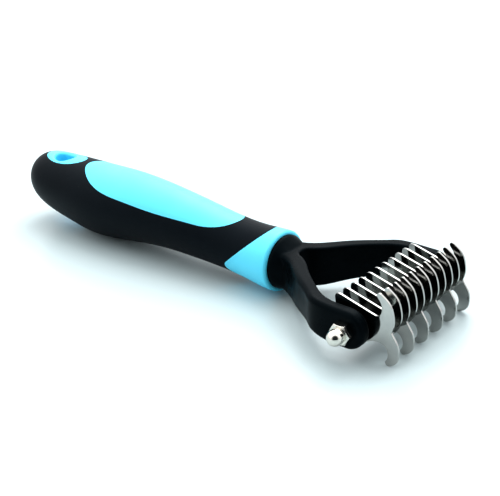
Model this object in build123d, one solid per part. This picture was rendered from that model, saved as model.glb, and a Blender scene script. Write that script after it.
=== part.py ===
from build123d import *
import math
import os

# Two-sided undercoat rake: a moulded handle, a forked yoke, and a pack of stamped
# steel blades clamped on a threaded rod by two cap nuts. Lengths are in millimetres.
#
# The pieces are drawn about the rod: X = 0 and Z = 0 on its axis, +X towards the front
# of the blades, +Y along the rod, +Z up. At the end they all move together, so that the
# tool lies on its belly and its lower hooks on Z = 0, with X = 0 halfway along it.

# ---- driving dimensions ----
blade_count = 11                # odd blades have an upper tooth and a lower hook
blade_pitch = 4.3
blade_thickness = 0.7

rod_radius = 2.0                # M4 rod
rod_fit = 0.06                  # running clearance round the rod, radial
spacer_radius = 3.6
end_washer_radius = 4.5

arm_inner_y = 23.1
arm_thickness = 4.4
arm_end_radius = 6.9
arm_outer_round = 1.6           # the arms' outer faces are fuller than the inner ones
arm_inner_round = 0.8
crotch_x = -38.5                # where the two arms part
arm_root_x = -46.0
root_half_width = 6.4           # the arms' common root, inside the round of the neck
root_top_z = 6.6
root_bottom_z = -7.0

nut_across_flats = 7.0          # M4 cap nut
nut_hex_height = 3.2
nut_height = 7.8
nut_dome_radius = 2.8
nut_face_radius = 3.3           # the hexagon's ends are chamfered down to this circle
nut_bore_depth = 6.0

sleeve_thickness = 3.0          # soft grip over the core
inlay_depth = 1.7               # thumb panel and eyelet flanges let into the grip
tang_width = 9.0
tang_height = 8.0
tang_length = 52.0
tang_centre_z = 0.9

eyelet_x = -162.4               # hang hole near the tail
eyelet_hole_shift = -1.2        # the hole sits a little behind its flange's middle
eyelet_hole_length = 10.0
eyelet_hole_width = 7.0
eyelet_wall = 1.4
eyelet_lip = 1.3                # rounding of the hole's mouths
eyelet_flange_length = 22.0
eyelet_flange_width = 11.5

collar_front_x = -46.6
collar_top_x = -51.5            # where the collar's rear edge crosses the top
collar_tip_x = -69.0            # the rounded lobe on each side
collar_tip_z = -3.4
collar_tip_round = 3.0
collar_rim_round = 1.1
neck_start_x = -50.0            # the yoke's shoulder, seated in the collar
neck_radius = 10.0
neck_centre_z = 0.4
neck_end_x = -41.0              # where the neck's round has become the arms' section
neck_end_width = 15.0
neck_end_height = 14.6
neck_end_round = 5.0
neck_end_z = -0.4

# Sections of the handle from the tail to the collar: (x, centre height, radius).
handle_sections = [
    (-180.8, 7.1, 4.2),
    (-179.0, 6.9, 7.8),
    (-174.8, 6.4, 10.6),
    (-167.6, 5.4, 12.4),
    (-155.0, 4.2, 13.7),
    (-142.0, 3.3, 14.65),
    (-122.0, 4.1, 14.0),
    (-102.0, 4.3, 12.3),
    (-85.0, 3.2, 11.2),
    (-70.0, 1.8, 10.5),
    (-58.0, 0.8, 10.8),
    (collar_front_x, 0.4, 11.4),
]

# The thumb panel's edge seen from above: (x, distance from the middle plane).
panel_outline = [(-147.6, 0.0), (-144.4, 6.1), (-136.0, 10.4), (-120.0, 11.7), (-102.0, 10.8),
                 (-85.0, 9.2), (-73.5, 7.1), (-68.0, 3.8), (-66.4, 0.0)]
panel_low_z = 6.0               # the panel's side walls stop here


# ---- handle ----
def handle_body(inset):
    """The handle's solid, with its skin moved in by inset all round."""
    tail_x = handle_sections[0][0]
    faces = []
    for x, height, radius in handle_sections:
        ring_x = x + inset if x == tail_x else x
        ring = Circle(max(radius - inset, 1.2))
        faces.append(Plane(origin=(ring_x, 0, height), z_dir=(1, 0, 0)) * ring)
    return loft(faces)


def panel_prism():
    """A tall prism over the thumb panel's outline."""
    near_side = list(panel_outline)
    far_side = [(x, -y) for x, y in reversed(panel_outline) if y > 0]
    outline = make_face(Spline(*near_side, *far_side, periodic=True))
    return extrude(Plane.XY.offset(panel_low_z) * outline, 30)


def upright(profile):
    """A profile seen from above at the hang hole, run through the handle."""
    return extrude(Plane.XY.offset(-20) * Pos(eyelet_x, 0) * profile, 50)


def on_hole_wall(edge):
    """Whether an edge runs round the wall of the hang hole."""
    point = edge @ 0.25
    lengthways = (point.X - eyelet_x - eyelet_hole_shift) / (eyelet_hole_length / 2)
    across = point.Y / (eyelet_hole_width / 2)
    return abs(math.hypot(lengthways, across) - 1) < 0.02


def collar_zone():
    """All of the handle ahead of the collar's rear edge, which points back in side view."""
    reach = 16.0
    run = (collar_top_x - collar_tip_x) / (12.0 - collar_tip_z)
    wide_x = collar_tip_x + run * reach
    edge = Polyline((collar_tip_x, collar_tip_z), (wide_x, collar_tip_z + reach),
                    (0, collar_tip_z + reach), (0, collar_tip_z - reach),
                    (wide_x, collar_tip_z - reach), close=True)
    face = make_face(edge)
    tip = face.vertices().sort_by(Axis.X)[0]
    return extrude(Plane.XZ * fillet(tip, collar_tip_round), 30, both=True)


def tang():
    """The yoke's bar inside the handle, reaching a little into the neck."""
    front = neck_start_x + 3.0
    bar = Pos(front - tang_length / 2, 0, tang_centre_z) * Box(tang_length, tang_width, tang_height)
    return fillet(bar.edges().filter_by(Axis.X), 1.5)


outer = handle_body(0.0)
rim = outer.edges().sort_by(Axis.X)[-1]
outer = fillet(rim, collar_rim_round)
inlay_floor = handle_body(inlay_depth)
core_zone = handle_body(sleeve_thickness)

panel_pocket = panel_prism() - inlay_floor
eyelet_hole = upright(Pos(eyelet_hole_shift, 0) * Ellipse(eyelet_hole_length / 2, eyelet_hole_width / 2))
eyelet_tube = upright(Pos(eyelet_hole_shift, 0) * Ellipse(
    eyelet_hole_length / 2 + eyelet_wall, eyelet_hole_width / 2 + eyelet_wall))
eyelet_flanges = upright(Ellipse(eyelet_flange_length / 2, eyelet_flange_width / 2)) - inlay_floor
eyelet_zone = eyelet_tube + eyelet_flanges
collar_space = collar_zone()
forward_of = (Align.MIN, Align.CENTER, Align.CENTER)
core_end = Pos(neck_start_x, 0, neck_centre_z) * Box(30, 60, 60, align=forward_of)
neck_socket = Pos(neck_start_x, 0, neck_centre_z) * Rot(0, 90, 0) * Cylinder(
    neck_radius, 30, align=(Align.CENTER, Align.CENTER, Align.MIN))

handle_core = core_zone - eyelet_tube - tang() - core_end
grip_sleeve = outer - core_zone - panel_pocket - eyelet_zone - collar_space
thumb_panel = outer & panel_pocket
hang_eyelet = (outer & eyelet_zone) - eyelet_hole
mouths = hang_eyelet.edges().filter_by(Axis.Z, reverse=True).filter_by(on_hole_wall)
hang_eyelet = fillet(mouths, eyelet_lip)
front_collar = (outer & collar_space) - handle_core - tang() - neck_socket


# ---- blades ----
def blade_outline(has_lower_hook):
    """Straight tail, crescent upper tooth, and on a long blade a lower hook."""
    tail_top = Line((-4.9, 9.2), (7.9, 5.7))
    upper_inner = Spline((7.9, 5.7), (10.3, 6.9), (10.6, 9.9), (9.0, 12.7),
                         tangents=[(1.0, -0.25), (-0.7, 1.0)])
    upper_tip = ThreePointArc((9.0, 12.7), (9.2, 13.8), (10.4, 13.8))
    upper_outer = Spline((10.4, 13.8), (13.7, 11.0), (15.1, 6.4), (14.1, 1.0),
                         tangents=[(1.0, -0.7), (-0.4, -1.0)])
    if has_lower_hook:
        lower_outer = Spline((14.1, 1.0), (16.5, -3.2), (16.7, -6.9), (13.6, -11.1),
                             tangents=[(0.5, -1.0), (-1.0, -0.4)])
        lower_tip = ThreePointArc((13.6, -11.1), (12.0, -11.2), (11.7, -9.9))
        lower_inner = Spline((11.7, -9.9), (12.7, -7.0), (10.9, -4.1), (7.6, -3.9), (3.6, -5.6),
                             tangents=[(0.8, 1.0), (-1.0, -0.5)])
        lower = [lower_outer, lower_tip, lower_inner]
    else:
        lower = [Spline((14.1, 1.0), (10.4, -3.2), (3.6, -5.6), tangents=[(-0.4, -1.0), (-1.0, -0.15)])]
    back = Spline((3.6, -5.6), (-3.4, -4.8), (-6.2, 0.4), (-7.4, 6.7), (-4.9, 9.2),
                  tangents=[(-1.0, -0.15), (1.0, -0.27)])
    return [tail_top, upper_inner, upper_tip, upper_outer, *lower, back]


def blade(has_lower_hook):
    """One stamped plate in the XZ plane, centred on the rod."""
    plate = make_face(blade_outline(has_lower_hook)) - Circle(rod_radius + rod_fit)
    return extrude(Plane.XZ * plate, blade_thickness / 2, both=True)


# ---- yoke ----
arm_outer_y = arm_inner_y + arm_thickness
arm_flat_x = -end_washer_radius - 0.5      # the arms run parallel from here forward
arm_stop_x = arm_end_radius + 1.0


def arm_plan():
    """The two arms seen from above: they flare out of the neck and run on parallel."""
    outside = Spline((arm_root_x, root_half_width), (-39.0, 8.2), (-29.5, 15.6), (-18.5, 23.5),
                     (arm_flat_x, arm_outer_y), tangents=[(1, 0), (1, 0)])
    inside = Spline((crotch_x, 0.0), (-35.6, 3.4), (-26.6, 11.0), (-16.9, 18.9), (arm_flat_x, arm_inner_y),
                    tangents=[(0, 1), (1, 0)])
    end = [Line((arm_flat_x, arm_outer_y), (arm_stop_x, arm_outer_y)),
           Line((arm_stop_x, arm_outer_y), (arm_stop_x, arm_inner_y)),
           Line((arm_stop_x, arm_inner_y), (arm_flat_x, arm_inner_y))]
    root = [Line((arm_root_x, 0), (arm_root_x, root_half_width)), Line((arm_root_x, 0), (crotch_x, 0))]
    half = make_face([outside, inside, *end, *root])
    return half + mirror(half, Plane.XZ)


def arm_side():
    """The arms seen from the side: deep at the neck, slim halfway, round about the rod."""
    top = Spline((0, arm_end_radius), (-22.0, 7.5), (-37.0, 7.1), (arm_root_x, root_top_z),
                 tangents=[(-1, 0), (-1, -0.1)])
    back = Line((arm_root_x, root_top_z), (arm_root_x, root_bottom_z))
    bottom = Spline((arm_root_x, root_bottom_z), (-37.0, -8.1), (-27.0, -6.4), (-16.0, -5.5), (0, -arm_end_radius),
                    tangents=[(1, -0.1), (1, 0)])
    end = ThreePointArc((0, -arm_end_radius), (arm_end_radius, 0), (0, arm_end_radius))
    return make_face([top, back, bottom, end])


def make_yoke():
    arms = extrude(Plane.XY.offset(-15) * arm_plan(), 30) & extrude(Plane.XZ * arm_side(), 40, both=True)
    outer_faces = arms.faces().filter_by(lambda face: face.normal_at().Y * face.center().Y > 5)
    arms = fillet(outer_faces.edges().filter_by(Axis.Z, reverse=True), arm_outer_round)
    inner_faces = arms.faces().filter_by(lambda face: face.normal_at().Y * face.center().Y < -5)
    arms = fillet(inner_faces.edges().filter_by(Axis.Z, reverse=True), arm_inner_round)
    arms = arms - Rot(90, 0, 0) * Cylinder(rod_radius + rod_fit, 80)

    def section(x, height, profile):
        return Plane(origin=(x, 0, height), x_dir=(0, 1, 0), z_dir=(1, 0, 0)) * profile

    shoulder_x = collar_front_x + 1.0
    shoulder = section(shoulder_x, neck_centre_z, Circle(neck_radius))
    seat = loft([section(neck_start_x, neck_centre_z, Circle(neck_radius)), shoulder])
    neck_end = RectangleRounded(neck_end_width, neck_end_height, neck_end_round)
    neck = loft([shoulder, section(neck_end_x, neck_end_z, neck_end)])
    return arms + seat + neck + tang()


# ---- rod, nuts, washers and spacers ----
def ring_on_rod(radius, start_y, end_y):
    """A washer or spacer on the rod, filling start_y to end_y."""
    width = end_y - start_y
    ring = Cylinder(radius, width) - Cylinder(rod_radius + rod_fit, width)
    return Pos(0, (start_y + end_y) / 2, 0) * Rot(90, 0, 0) * ring


def make_rod():
    """The rod, ending just short of the bottom of each nut's thread."""
    length = 2 * (arm_outer_y + nut_bore_depth - 0.5)
    rod = Rot(90, 0, 0) * Cylinder(rod_radius, length)
    return chamfer(rod.edges().filter_by(GeomType.CIRCLE), 0.4)


def cap_nut():
    """A domed hexagon nut standing on Z = 0, with its blind thread opening downwards."""
    corner = nut_across_flats / math.sqrt(3)
    upwards = (Align.CENTER, Align.CENTER, Align.MIN)
    hexagon = extrude(RegularPolygon(corner, 6), nut_hex_height)
    spread = nut_hex_height * math.sqrt(3)      # 30 degree chamfers
    crown = Cone(nut_face_radius + spread, nut_face_radius, nut_hex_height, align=upwards)
    foot = Cone(nut_face_radius, nut_face_radius + spread, nut_hex_height, align=upwards)
    dome_centre = nut_height - nut_dome_radius
    dome = Pos(0, 0, dome_centre) * Sphere(nut_dome_radius)
    skirt = extrude(Circle(nut_dome_radius), dome_centre)
    bore = extrude(Circle(rod_radius + rod_fit), nut_bore_depth)
    return (hexagon & crown & foot) + dome + skirt - bore


long_blade = blade(True)
short_blade = blade(False)
pack_edge_y = blade_pitch * (blade_count - 1) / 2 + blade_thickness / 2

nodes = {
    "yoke": make_yoke(),
    "handle_core": handle_core,
    "grip_sleeve": grip_sleeve,
    "thumb_panel": thumb_panel,
    "hang_eyelet": hang_eyelet,
    "front_collar": front_collar,
    "axle_rod": make_rod(),
    "near_cap_nut": Pos(0, -arm_outer_y, 0) * Rot(90, 0, 0) * cap_nut(),
    "far_cap_nut": Pos(0, arm_outer_y, 0) * Rot(-90, 0, 0) * cap_nut(),
    "near_end_washer": ring_on_rod(end_washer_radius, -arm_inner_y, -pack_edge_y),
    "far_end_washer": ring_on_rod(end_washer_radius, pack_edge_y, arm_inner_y),
}

for number in range(1, blade_count + 1):
    blade_y = (number - (blade_count + 1) / 2) * blade_pitch
    plate_face_y = blade_y + blade_thickness / 2
    if number % 2 == 1:
        nodes[f"long_blade_{number:02d}"] = Pos(0, blade_y, 0) * long_blade
    else:
        nodes[f"short_blade_{number:02d}"] = Pos(0, blade_y, 0) * short_blade
    if number < blade_count:
        next_face_y = plate_face_y + blade_pitch - blade_thickness
        nodes[f"blade_spacer_{number:02d}"] = ring_on_rod(spacer_radius, plate_face_y, next_face_y)

# Set the tool down on Z = 0, with X = 0 halfway along it.
hook_box = long_blade.bounding_box()
rod_x = -(handle_sections[0][0] + hook_box.max.X) / 2
rod_z = -hook_box.min.Z

os.makedirs("parts", exist_ok=True)
for name, shape in nodes.items():
    export_step(Pos(rod_x, 0, rod_z) * shape, f"parts/{name}.step")
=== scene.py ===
import math

import bpy
from mathutils import Matrix, Vector


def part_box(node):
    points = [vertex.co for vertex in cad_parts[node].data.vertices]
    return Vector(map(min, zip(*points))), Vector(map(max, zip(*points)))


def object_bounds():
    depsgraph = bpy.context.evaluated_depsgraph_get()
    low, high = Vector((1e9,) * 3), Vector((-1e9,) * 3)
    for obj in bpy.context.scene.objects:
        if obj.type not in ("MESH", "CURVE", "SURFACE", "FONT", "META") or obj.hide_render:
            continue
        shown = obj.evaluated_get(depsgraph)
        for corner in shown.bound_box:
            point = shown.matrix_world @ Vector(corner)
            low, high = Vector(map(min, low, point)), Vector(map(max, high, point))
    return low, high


# Looks for the undercoat rake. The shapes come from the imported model; this script gives
# each piece its material, and sets up the floor, the light and the camera. Lengths are in
# metres unless a comment says otherwise.

mm = 0.001

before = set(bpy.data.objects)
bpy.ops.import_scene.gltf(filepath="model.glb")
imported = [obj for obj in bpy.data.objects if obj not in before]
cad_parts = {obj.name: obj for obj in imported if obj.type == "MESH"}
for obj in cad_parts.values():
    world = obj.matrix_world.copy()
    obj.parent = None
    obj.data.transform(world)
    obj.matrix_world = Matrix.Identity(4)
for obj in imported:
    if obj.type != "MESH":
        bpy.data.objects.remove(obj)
cad_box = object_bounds()

# ---- camera ----
rod_centre = sum(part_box("axle_rod"), Vector()) / 2
camera_place = rod_centre + Vector((0.18277, -0.26886, 0.17815))
camera_azimuth = math.radians(42.43)
camera_elevation = math.radians(25.89)
camera_roll = math.radians(-4.2)
camera_lens = 78.93                          # millimetres
camera_clip = (0.01, 20.0)

# ---- light ----
sky_top = (2.15, 2.15, 2.15)
sky_horizon = (0.95, 0.98, 1.00)
room_side = Vector((0.63, -0.69, 0.35))      # towards the tent's open front
room_colour = (0.03, 0.035, 0.04)
room_edge = (0.55, 0.90)                     # where the opening starts, and where it is full
key_place = Vector((-0.10, 0.35, 0.60))
key_aim = Vector((0.0, 0.0, 0.0))
key_size = 0.55
key_power = 3.0                              # watts

# ---- floor ----
floor_z = cad_box[0].z
floor_half_width = 3.0
floor_colour = (0.502, 0.592, 0.610)
floor_pale_share = 0.985                     # the paper's darker patches, against its colour

# ---- materials ----
black_sheen = (0.70, 0.90, 1.00, 1.0)        # the cool tint of the black plastics' highlights
noise_middle = (0.35, 0.65)                  # the range in which most of a noise's values lie
full_edge = 5 / 6                            # cosine of the turn that counts as a whole edge
flat_face = 0.999                            # and of the turn that still counts as flat


def colour_sockets(sockets):
    """The colour sockets of a Mix node, which also has sockets for numbers and vectors."""
    return [socket for socket in sockets if socket.type == "RGBA"]


class Nodes:
    """A node tree, with short names for the nodes that the looks below share."""

    def __init__(self, tree, coordinates):
        self.tree = tree
        self.place = self.add("ShaderNodeTexCoord").outputs[coordinates]

    def add(self, kind, **settings):
        node = self.tree.nodes.new(kind)
        for key, value in settings.items():
            setattr(node, key, value)
        return node

    def join(self, output, socket):
        self.tree.links.new(output, socket)

    def along(self, vector, direction):
        """The dot product of two vectors; direction may be a fixed vector or a socket."""
        node = self.add("ShaderNodeVectorMath", operation="DOT_PRODUCT")
        self.join(vector, node.inputs[0])
        if isinstance(direction, Vector):
            node.inputs[1].default_value = direction
        else:
            self.join(direction, node.inputs[1])
        return node.outputs["Value"]

    def spread(self, value, low, high, between=noise_middle, shape="LINEAR"):
        """Maps a value that lies between two numbers to low..high."""
        node = self.add("ShaderNodeMapRange", interpolation_type=shape)
        for name, number in zip(("From Min", "From Max", "To Min", "To Max"), (*between, low, high)):
            node.inputs[name].default_value = number
        self.join(value, node.inputs["Value"])
        return node.outputs["Result"]

    def blend(self, factor, first, second):
        """A colour between first and second; either may be a colour or a socket."""
        node = self.add("ShaderNodeMix", data_type="RGBA")
        for socket, value in zip(colour_sockets(node.inputs), (first, second)):
            if isinstance(value, tuple):
                socket.default_value = (*value, 1.0)
            else:
                self.join(value, socket)
        self.join(factor, node.inputs["Factor"])
        return colour_sockets(node.outputs)[0]


class Finish(Nodes):
    """A material on the Principled shader, whose own sockets are set by name."""

    def __init__(self, name, **shader_values):
        self.material = bpy.data.materials.new(name)
        self.material.use_nodes = True
        super().__init__(self.material.node_tree, "Object")
        self.shader = self.tree.nodes["Principled BSDF"]
        sockets = {socket.name.lower().replace(" ", "_"): socket for socket in self.shader.inputs}
        for key, value in shader_values.items():
            sockets[key].default_value = value

    def stretched(self, scale):
        """Object coordinates scaled differently along X, Y and Z."""
        mapping = self.add("ShaderNodeMapping")
        mapping.inputs["Scale"].default_value = scale
        self.join(self.place, mapping.inputs["Vector"])
        return mapping.outputs["Vector"]

    def noise(self, scale, detail=3.0, roughness=0.5, vector=None):
        """Grey noise; scale is in features per metre, or 1 on stretched coordinates."""
        node = self.add("ShaderNodeTexNoise")
        node.inputs["Scale"].default_value = scale
        node.inputs["Detail"].default_value = detail
        node.inputs["Roughness"].default_value = roughness
        self.join(vector or self.place, node.inputs["Vector"])
        return node.outputs["Fac"]

    def mottle(self, value, first, second):
        """A colour that wanders between first and second with a noise."""
        return self.blend(self.spread(value, 0.0, 1.0), first, second)

    def bump(self, height, depth, under=None, strength=1.0):
        """Raises the surface by height times depth, over another bump if one is given."""
        node = self.add("ShaderNodeBump")
        node.inputs["Strength"].default_value = strength
        node.inputs["Distance"].default_value = depth
        self.join(height, node.inputs["Height"])
        if under is not None:
            self.join(under, node.inputs["Normal"])
        return node.outputs["Normal"]

    def rounded(self, radius):
        """The surface's direction, with every sharp edge rounded by radius."""
        node = self.add("ShaderNodeBevel", samples=6)
        node.inputs["Radius"].default_value = radius
        return node.outputs["Normal"]

    def edges(self, radius):
        """1 along the sharp edges and 0 on the flats, by how far rounding turns the surface. The
        looks below use it to paint a lighter highlight along the edges.
        """
        flat = self.add("ShaderNodeNewGeometry").outputs["Normal"]
        turned = self.along(self.rounded(radius), flat)
        return self.spread(turned, 1.0, 0.0, between=(full_edge, flat_face))

    def finish(self, colour, roughness, normal):
        for name, value in (("Base Color", colour), ("Roughness", roughness), ("Normal", normal)):
            self.join(value, self.shader.inputs[name])
        return self.material


def soft_touch_grip():
    """Matte black soft-touch skin: a fine grain, slight rub marks and a few dust specks."""
    skin = Finish("soft_touch_grip", specular_ior_level=0.07, specular_tint=black_sheen)
    rubbed = skin.noise(45, detail=4.0)
    colour = skin.mottle(rubbed, (0.0020, 0.0036, 0.0060), (0.0036, 0.0058, 0.0086))
    dust = skin.spread(skin.noise(1500, detail=1.0), 0.0, 0.35, between=(0.74, 0.80))
    colour = skin.blend(dust, colour, (0.03, 0.03, 0.03))
    grain = skin.bump(skin.noise(5200, detail=2.0), 0.04 * mm, strength=0.35)
    ripple = skin.bump(skin.noise(160, detail=2.0), 0.10 * mm, under=grain, strength=0.25)
    return skin.finish(colour, skin.spread(rubbed, 0.40, 0.52), ripple)


def blue_moulding():
    """Satin sky-blue plastic with a spark-eroded texture, handled, smoother patches, and a painted
    highlight along its edges.
    """
    blue = Finish("blue_moulding", specular_ior_level=0.35)
    colour = blue.mottle(blue.noise(38), (0.112, 0.690, 0.940), (0.128, 0.730, 0.970))
    # Painted highlight: a lighter blue along the sharp edges.
    colour = blue.blend(blue.edges(0.35 * mm), colour, (0.15, 0.78, 0.96))
    eroded = blue.noise(6000, detail=2.0)
    texture = blue.bump(eroded, 0.03 * mm, under=blue.rounded(0.25 * mm), strength=0.35)
    return blue.finish(colour, blue.spread(blue.noise(90), 0.34, 0.46), texture)


def gloss_nylon():
    """Glossy near-black glass-filled nylon with faint flow marks, and rounded edges that carry a
    painted highlight.
    """
    nylon = Finish("gloss_nylon", specular_ior_level=0.035, specular_tint=black_sheen)
    flow = nylon.noise(1.0, vector=nylon.stretched((60, 260, 260)))
    colour = nylon.mottle(flow, (0.0010, 0.0026, 0.0038), (0.0022, 0.0044, 0.0058))
    # Painted highlight: a lighter near-black along the sharp edges.
    colour = nylon.blend(nylon.edges(0.5 * mm), colour, (0.005, 0.008, 0.010))
    waves = nylon.noise(420, detail=2.0)
    skin = nylon.bump(waves, 0.06 * mm, under=nylon.rounded(1.4 * mm), strength=0.18)
    speckle = nylon.bump(nylon.noise(3800, detail=1.0), 0.02 * mm, under=skin, strength=0.15)
    return nylon.finish(colour, nylon.spread(nylon.noise(120), 0.26, 0.36), speckle)


def blade_steel():
    """Polished stainless plate: fine grinding lines along it, smears, and rounded edges with a
    painted highlight along them.
    """
    steel = Finish("blade_steel", metallic=1.0)
    lines = steel.noise(1.0, detail=4.0, roughness=0.7, vector=steel.stretched((700, 700, 9000)))
    smears = steel.noise(170, detail=4.0)
    colour = steel.mottle(smears, (0.41, 0.41, 0.40), (0.48, 0.48, 0.46))
    # Painted highlight: a brighter steel colour along the sharp edges.
    colour = steel.blend(steel.edges(0.08 * mm), colour, (0.62, 0.62, 0.61))
    scratches = steel.bump(lines, 0.01 * mm, under=steel.rounded(0.08 * mm), strength=0.20)
    return steel.finish(colour, steel.spread(smears, 0.05, 0.11), scratches)


def nickel_plate():
    """Bright warm nickel on the cap nuts, with turning marks and rounded corners that carry a
    painted highlight.
    """
    nickel = Finish("nickel_plate", metallic=1.0)
    cloud = nickel.noise(320, detail=4.0)
    colour = nickel.mottle(cloud, (0.62, 0.60, 0.55), (0.72, 0.70, 0.64))
    # Painted highlight: a brighter nickel colour on the corners and edges.
    colour = nickel.blend(nickel.edges(0.1 * mm), colour, (0.80, 0.79, 0.75))
    marks = nickel.noise(1.0, detail=2.0, vector=nickel.stretched((900, 5200, 900)))
    turned = nickel.bump(marks, 0.01 * mm, under=nickel.rounded(0.1 * mm), strength=0.25)
    return nickel.finish(colour, nickel.spread(cloud, 0.05, 0.12), turned)


def drawn_steel():
    """Zinc-plated rod, drawn along its length."""
    steel = Finish("drawn_steel", metallic=1.0)
    lines = steel.noise(1.0, vector=steel.stretched((5000, 200, 5000)))
    colour = steel.mottle(lines, (0.50, 0.51, 0.52), (0.66, 0.66, 0.65))
    grooves = steel.bump(lines, 0.02 * mm, strength=0.4)
    return steel.finish(colour, steel.spread(lines, 0.22, 0.38), grooves)


def spacer_nylon():
    """Dark moulded spacers and washers with a turned face."""
    nylon = Finish("spacer_nylon", specular_ior_level=0.4)
    mottled = nylon.noise(700)
    colour = nylon.mottle(mottled, (0.004, 0.005, 0.006), (0.008, 0.009, 0.010))
    # Painted highlight: a lighter grey along the sharp edges.
    colour = nylon.blend(nylon.edges(0.3 * mm), colour, (0.02, 0.02, 0.021))
    fine = nylon.noise(3000, detail=2.0)
    turned = nylon.bump(fine, 0.03 * mm, under=nylon.rounded(0.2 * mm), strength=0.3)
    return nylon.finish(colour, nylon.spread(mottled, 0.35, 0.50), turned)


def core_plastic():
    """The hard core inside the grip, which the whole handle hides."""
    core = Finish("core_plastic", specular_ior_level=0.4)
    mottled = core.noise(260)
    colour = core.mottle(mottled, (0.012, 0.013, 0.014), (0.020, 0.021, 0.022))
    grain = core.bump(core.noise(2500), 0.03 * mm, strength=0.3)
    return core.finish(colour, core.spread(mottled, 0.45, 0.60), grain)


def paper_floor():
    """A pale satin sweep with a faint paper tooth."""
    paper = Finish("paper_floor", specular_ior_level=0.35)
    tooth = paper.noise(900)
    patch_colour = tuple(floor_pale_share * channel for channel in floor_colour)
    colour = paper.mottle(tooth, patch_colour, floor_colour)
    fibres = paper.bump(tooth, 0.03 * mm, strength=0.2)
    return paper.finish(colour, paper.spread(tooth, 0.30, 0.38), fibres)


def dress_nodes():
    """Gives each node the finish of the first of these words that its name holds."""
    blue, nylon = blue_moulding(), spacer_nylon()
    finishes = {
        "spacer": nylon,
        "washer": nylon,
        "blade": blade_steel(),
        "nut": nickel_plate(),
        "rod": drawn_steel(),
        "yoke": gloss_nylon(),
        "core": core_plastic(),
        "grip": soft_touch_grip(),
        "panel": blue,
        "collar": blue,
        "eyelet": blue,
    }
    for name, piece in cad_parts.items():
        word = next(word for word in finishes if word in name)
        for material_slot in piece.material_slots:
            material_slot.material = finishes[word]


# ---- surroundings ----
def lay_floor():
    """A square sheet under the object, at the height of its lowest point."""
    signs = ((-1, -1), (1, -1), (1, 1), (-1, 1))
    corners = [(x * floor_half_width, y * floor_half_width, floor_z) for x, y in signs]
    mesh = bpy.data.meshes.new("floor")
    mesh.from_pydata(corners, [], [(0, 1, 2, 3)])
    mesh.materials.append(paper_floor())
    floor = bpy.data.objects.new("floor", mesh)
    bpy.context.scene.collection.objects.link(floor)


def tent_world():
    """A white tent: brightest overhead, softer low down, and open in front, where the object
    mirrors a dark room. Seen directly, the backdrop is plain white all round."""
    world = bpy.data.worlds.new("tent")
    world.use_nodes = True
    sky = Nodes(world.node_tree, "Generated")
    height = sky.add("ShaderNodeSeparateXYZ")
    sky.join(sky.place, height.inputs["Vector"])
    cloth = sky.blend(height.outputs["Z"], sky_horizon, sky_top)
    forward = sky.along(sky.place, room_side)
    opening = sky.spread(forward, 0.0, 1.0, between=room_edge, shape="SMOOTHSTEP")
    mirrored = sky.add("ShaderNodeMath", operation="SUBTRACT", use_clamp=True)
    sky.join(opening, mirrored.inputs[0])
    sky.join(sky.add("ShaderNodeLightPath").outputs["Is Camera Ray"], mirrored.inputs[1])
    colour = sky.blend(mirrored.outputs["Value"], cloth, room_colour)
    sky.join(colour, sky.tree.nodes["Background"].inputs["Color"])
    bpy.context.scene.world = world


def key_light():
    """A square soft box behind and above the object."""
    data = bpy.data.lights.new("key", "AREA")
    data.size = key_size
    data.energy = key_power
    light = bpy.data.objects.new("key", data)
    light.location = key_place
    light.rotation_euler = (key_aim - key_place).to_track_quat("-Z", "Y").to_euler()
    bpy.context.scene.collection.objects.link(light)


def set_camera():
    """The camera and the print-like contrast of its picture."""
    data = bpy.data.cameras.new("camera")
    data.lens = camera_lens
    data.clip_start, data.clip_end = camera_clip
    camera = bpy.data.objects.new("camera", data)
    heading = Matrix.Rotation(camera_azimuth, 4, "Z")
    tilt = Matrix.Rotation(math.pi / 2 - camera_elevation, 4, "X")
    roll = Matrix.Rotation(camera_roll, 4, "Z")
    camera.matrix_world = Matrix.Translation(camera_place) @ heading @ tilt @ roll
    bpy.context.scene.collection.objects.link(camera)
    bpy.context.scene.camera = camera
    bpy.context.scene.view_settings.view_transform = "Standard"
    bpy.context.scene.view_settings.look = "Medium High Contrast"


dress_nodes()
lay_floor()
tent_world()
key_light()
set_camera()
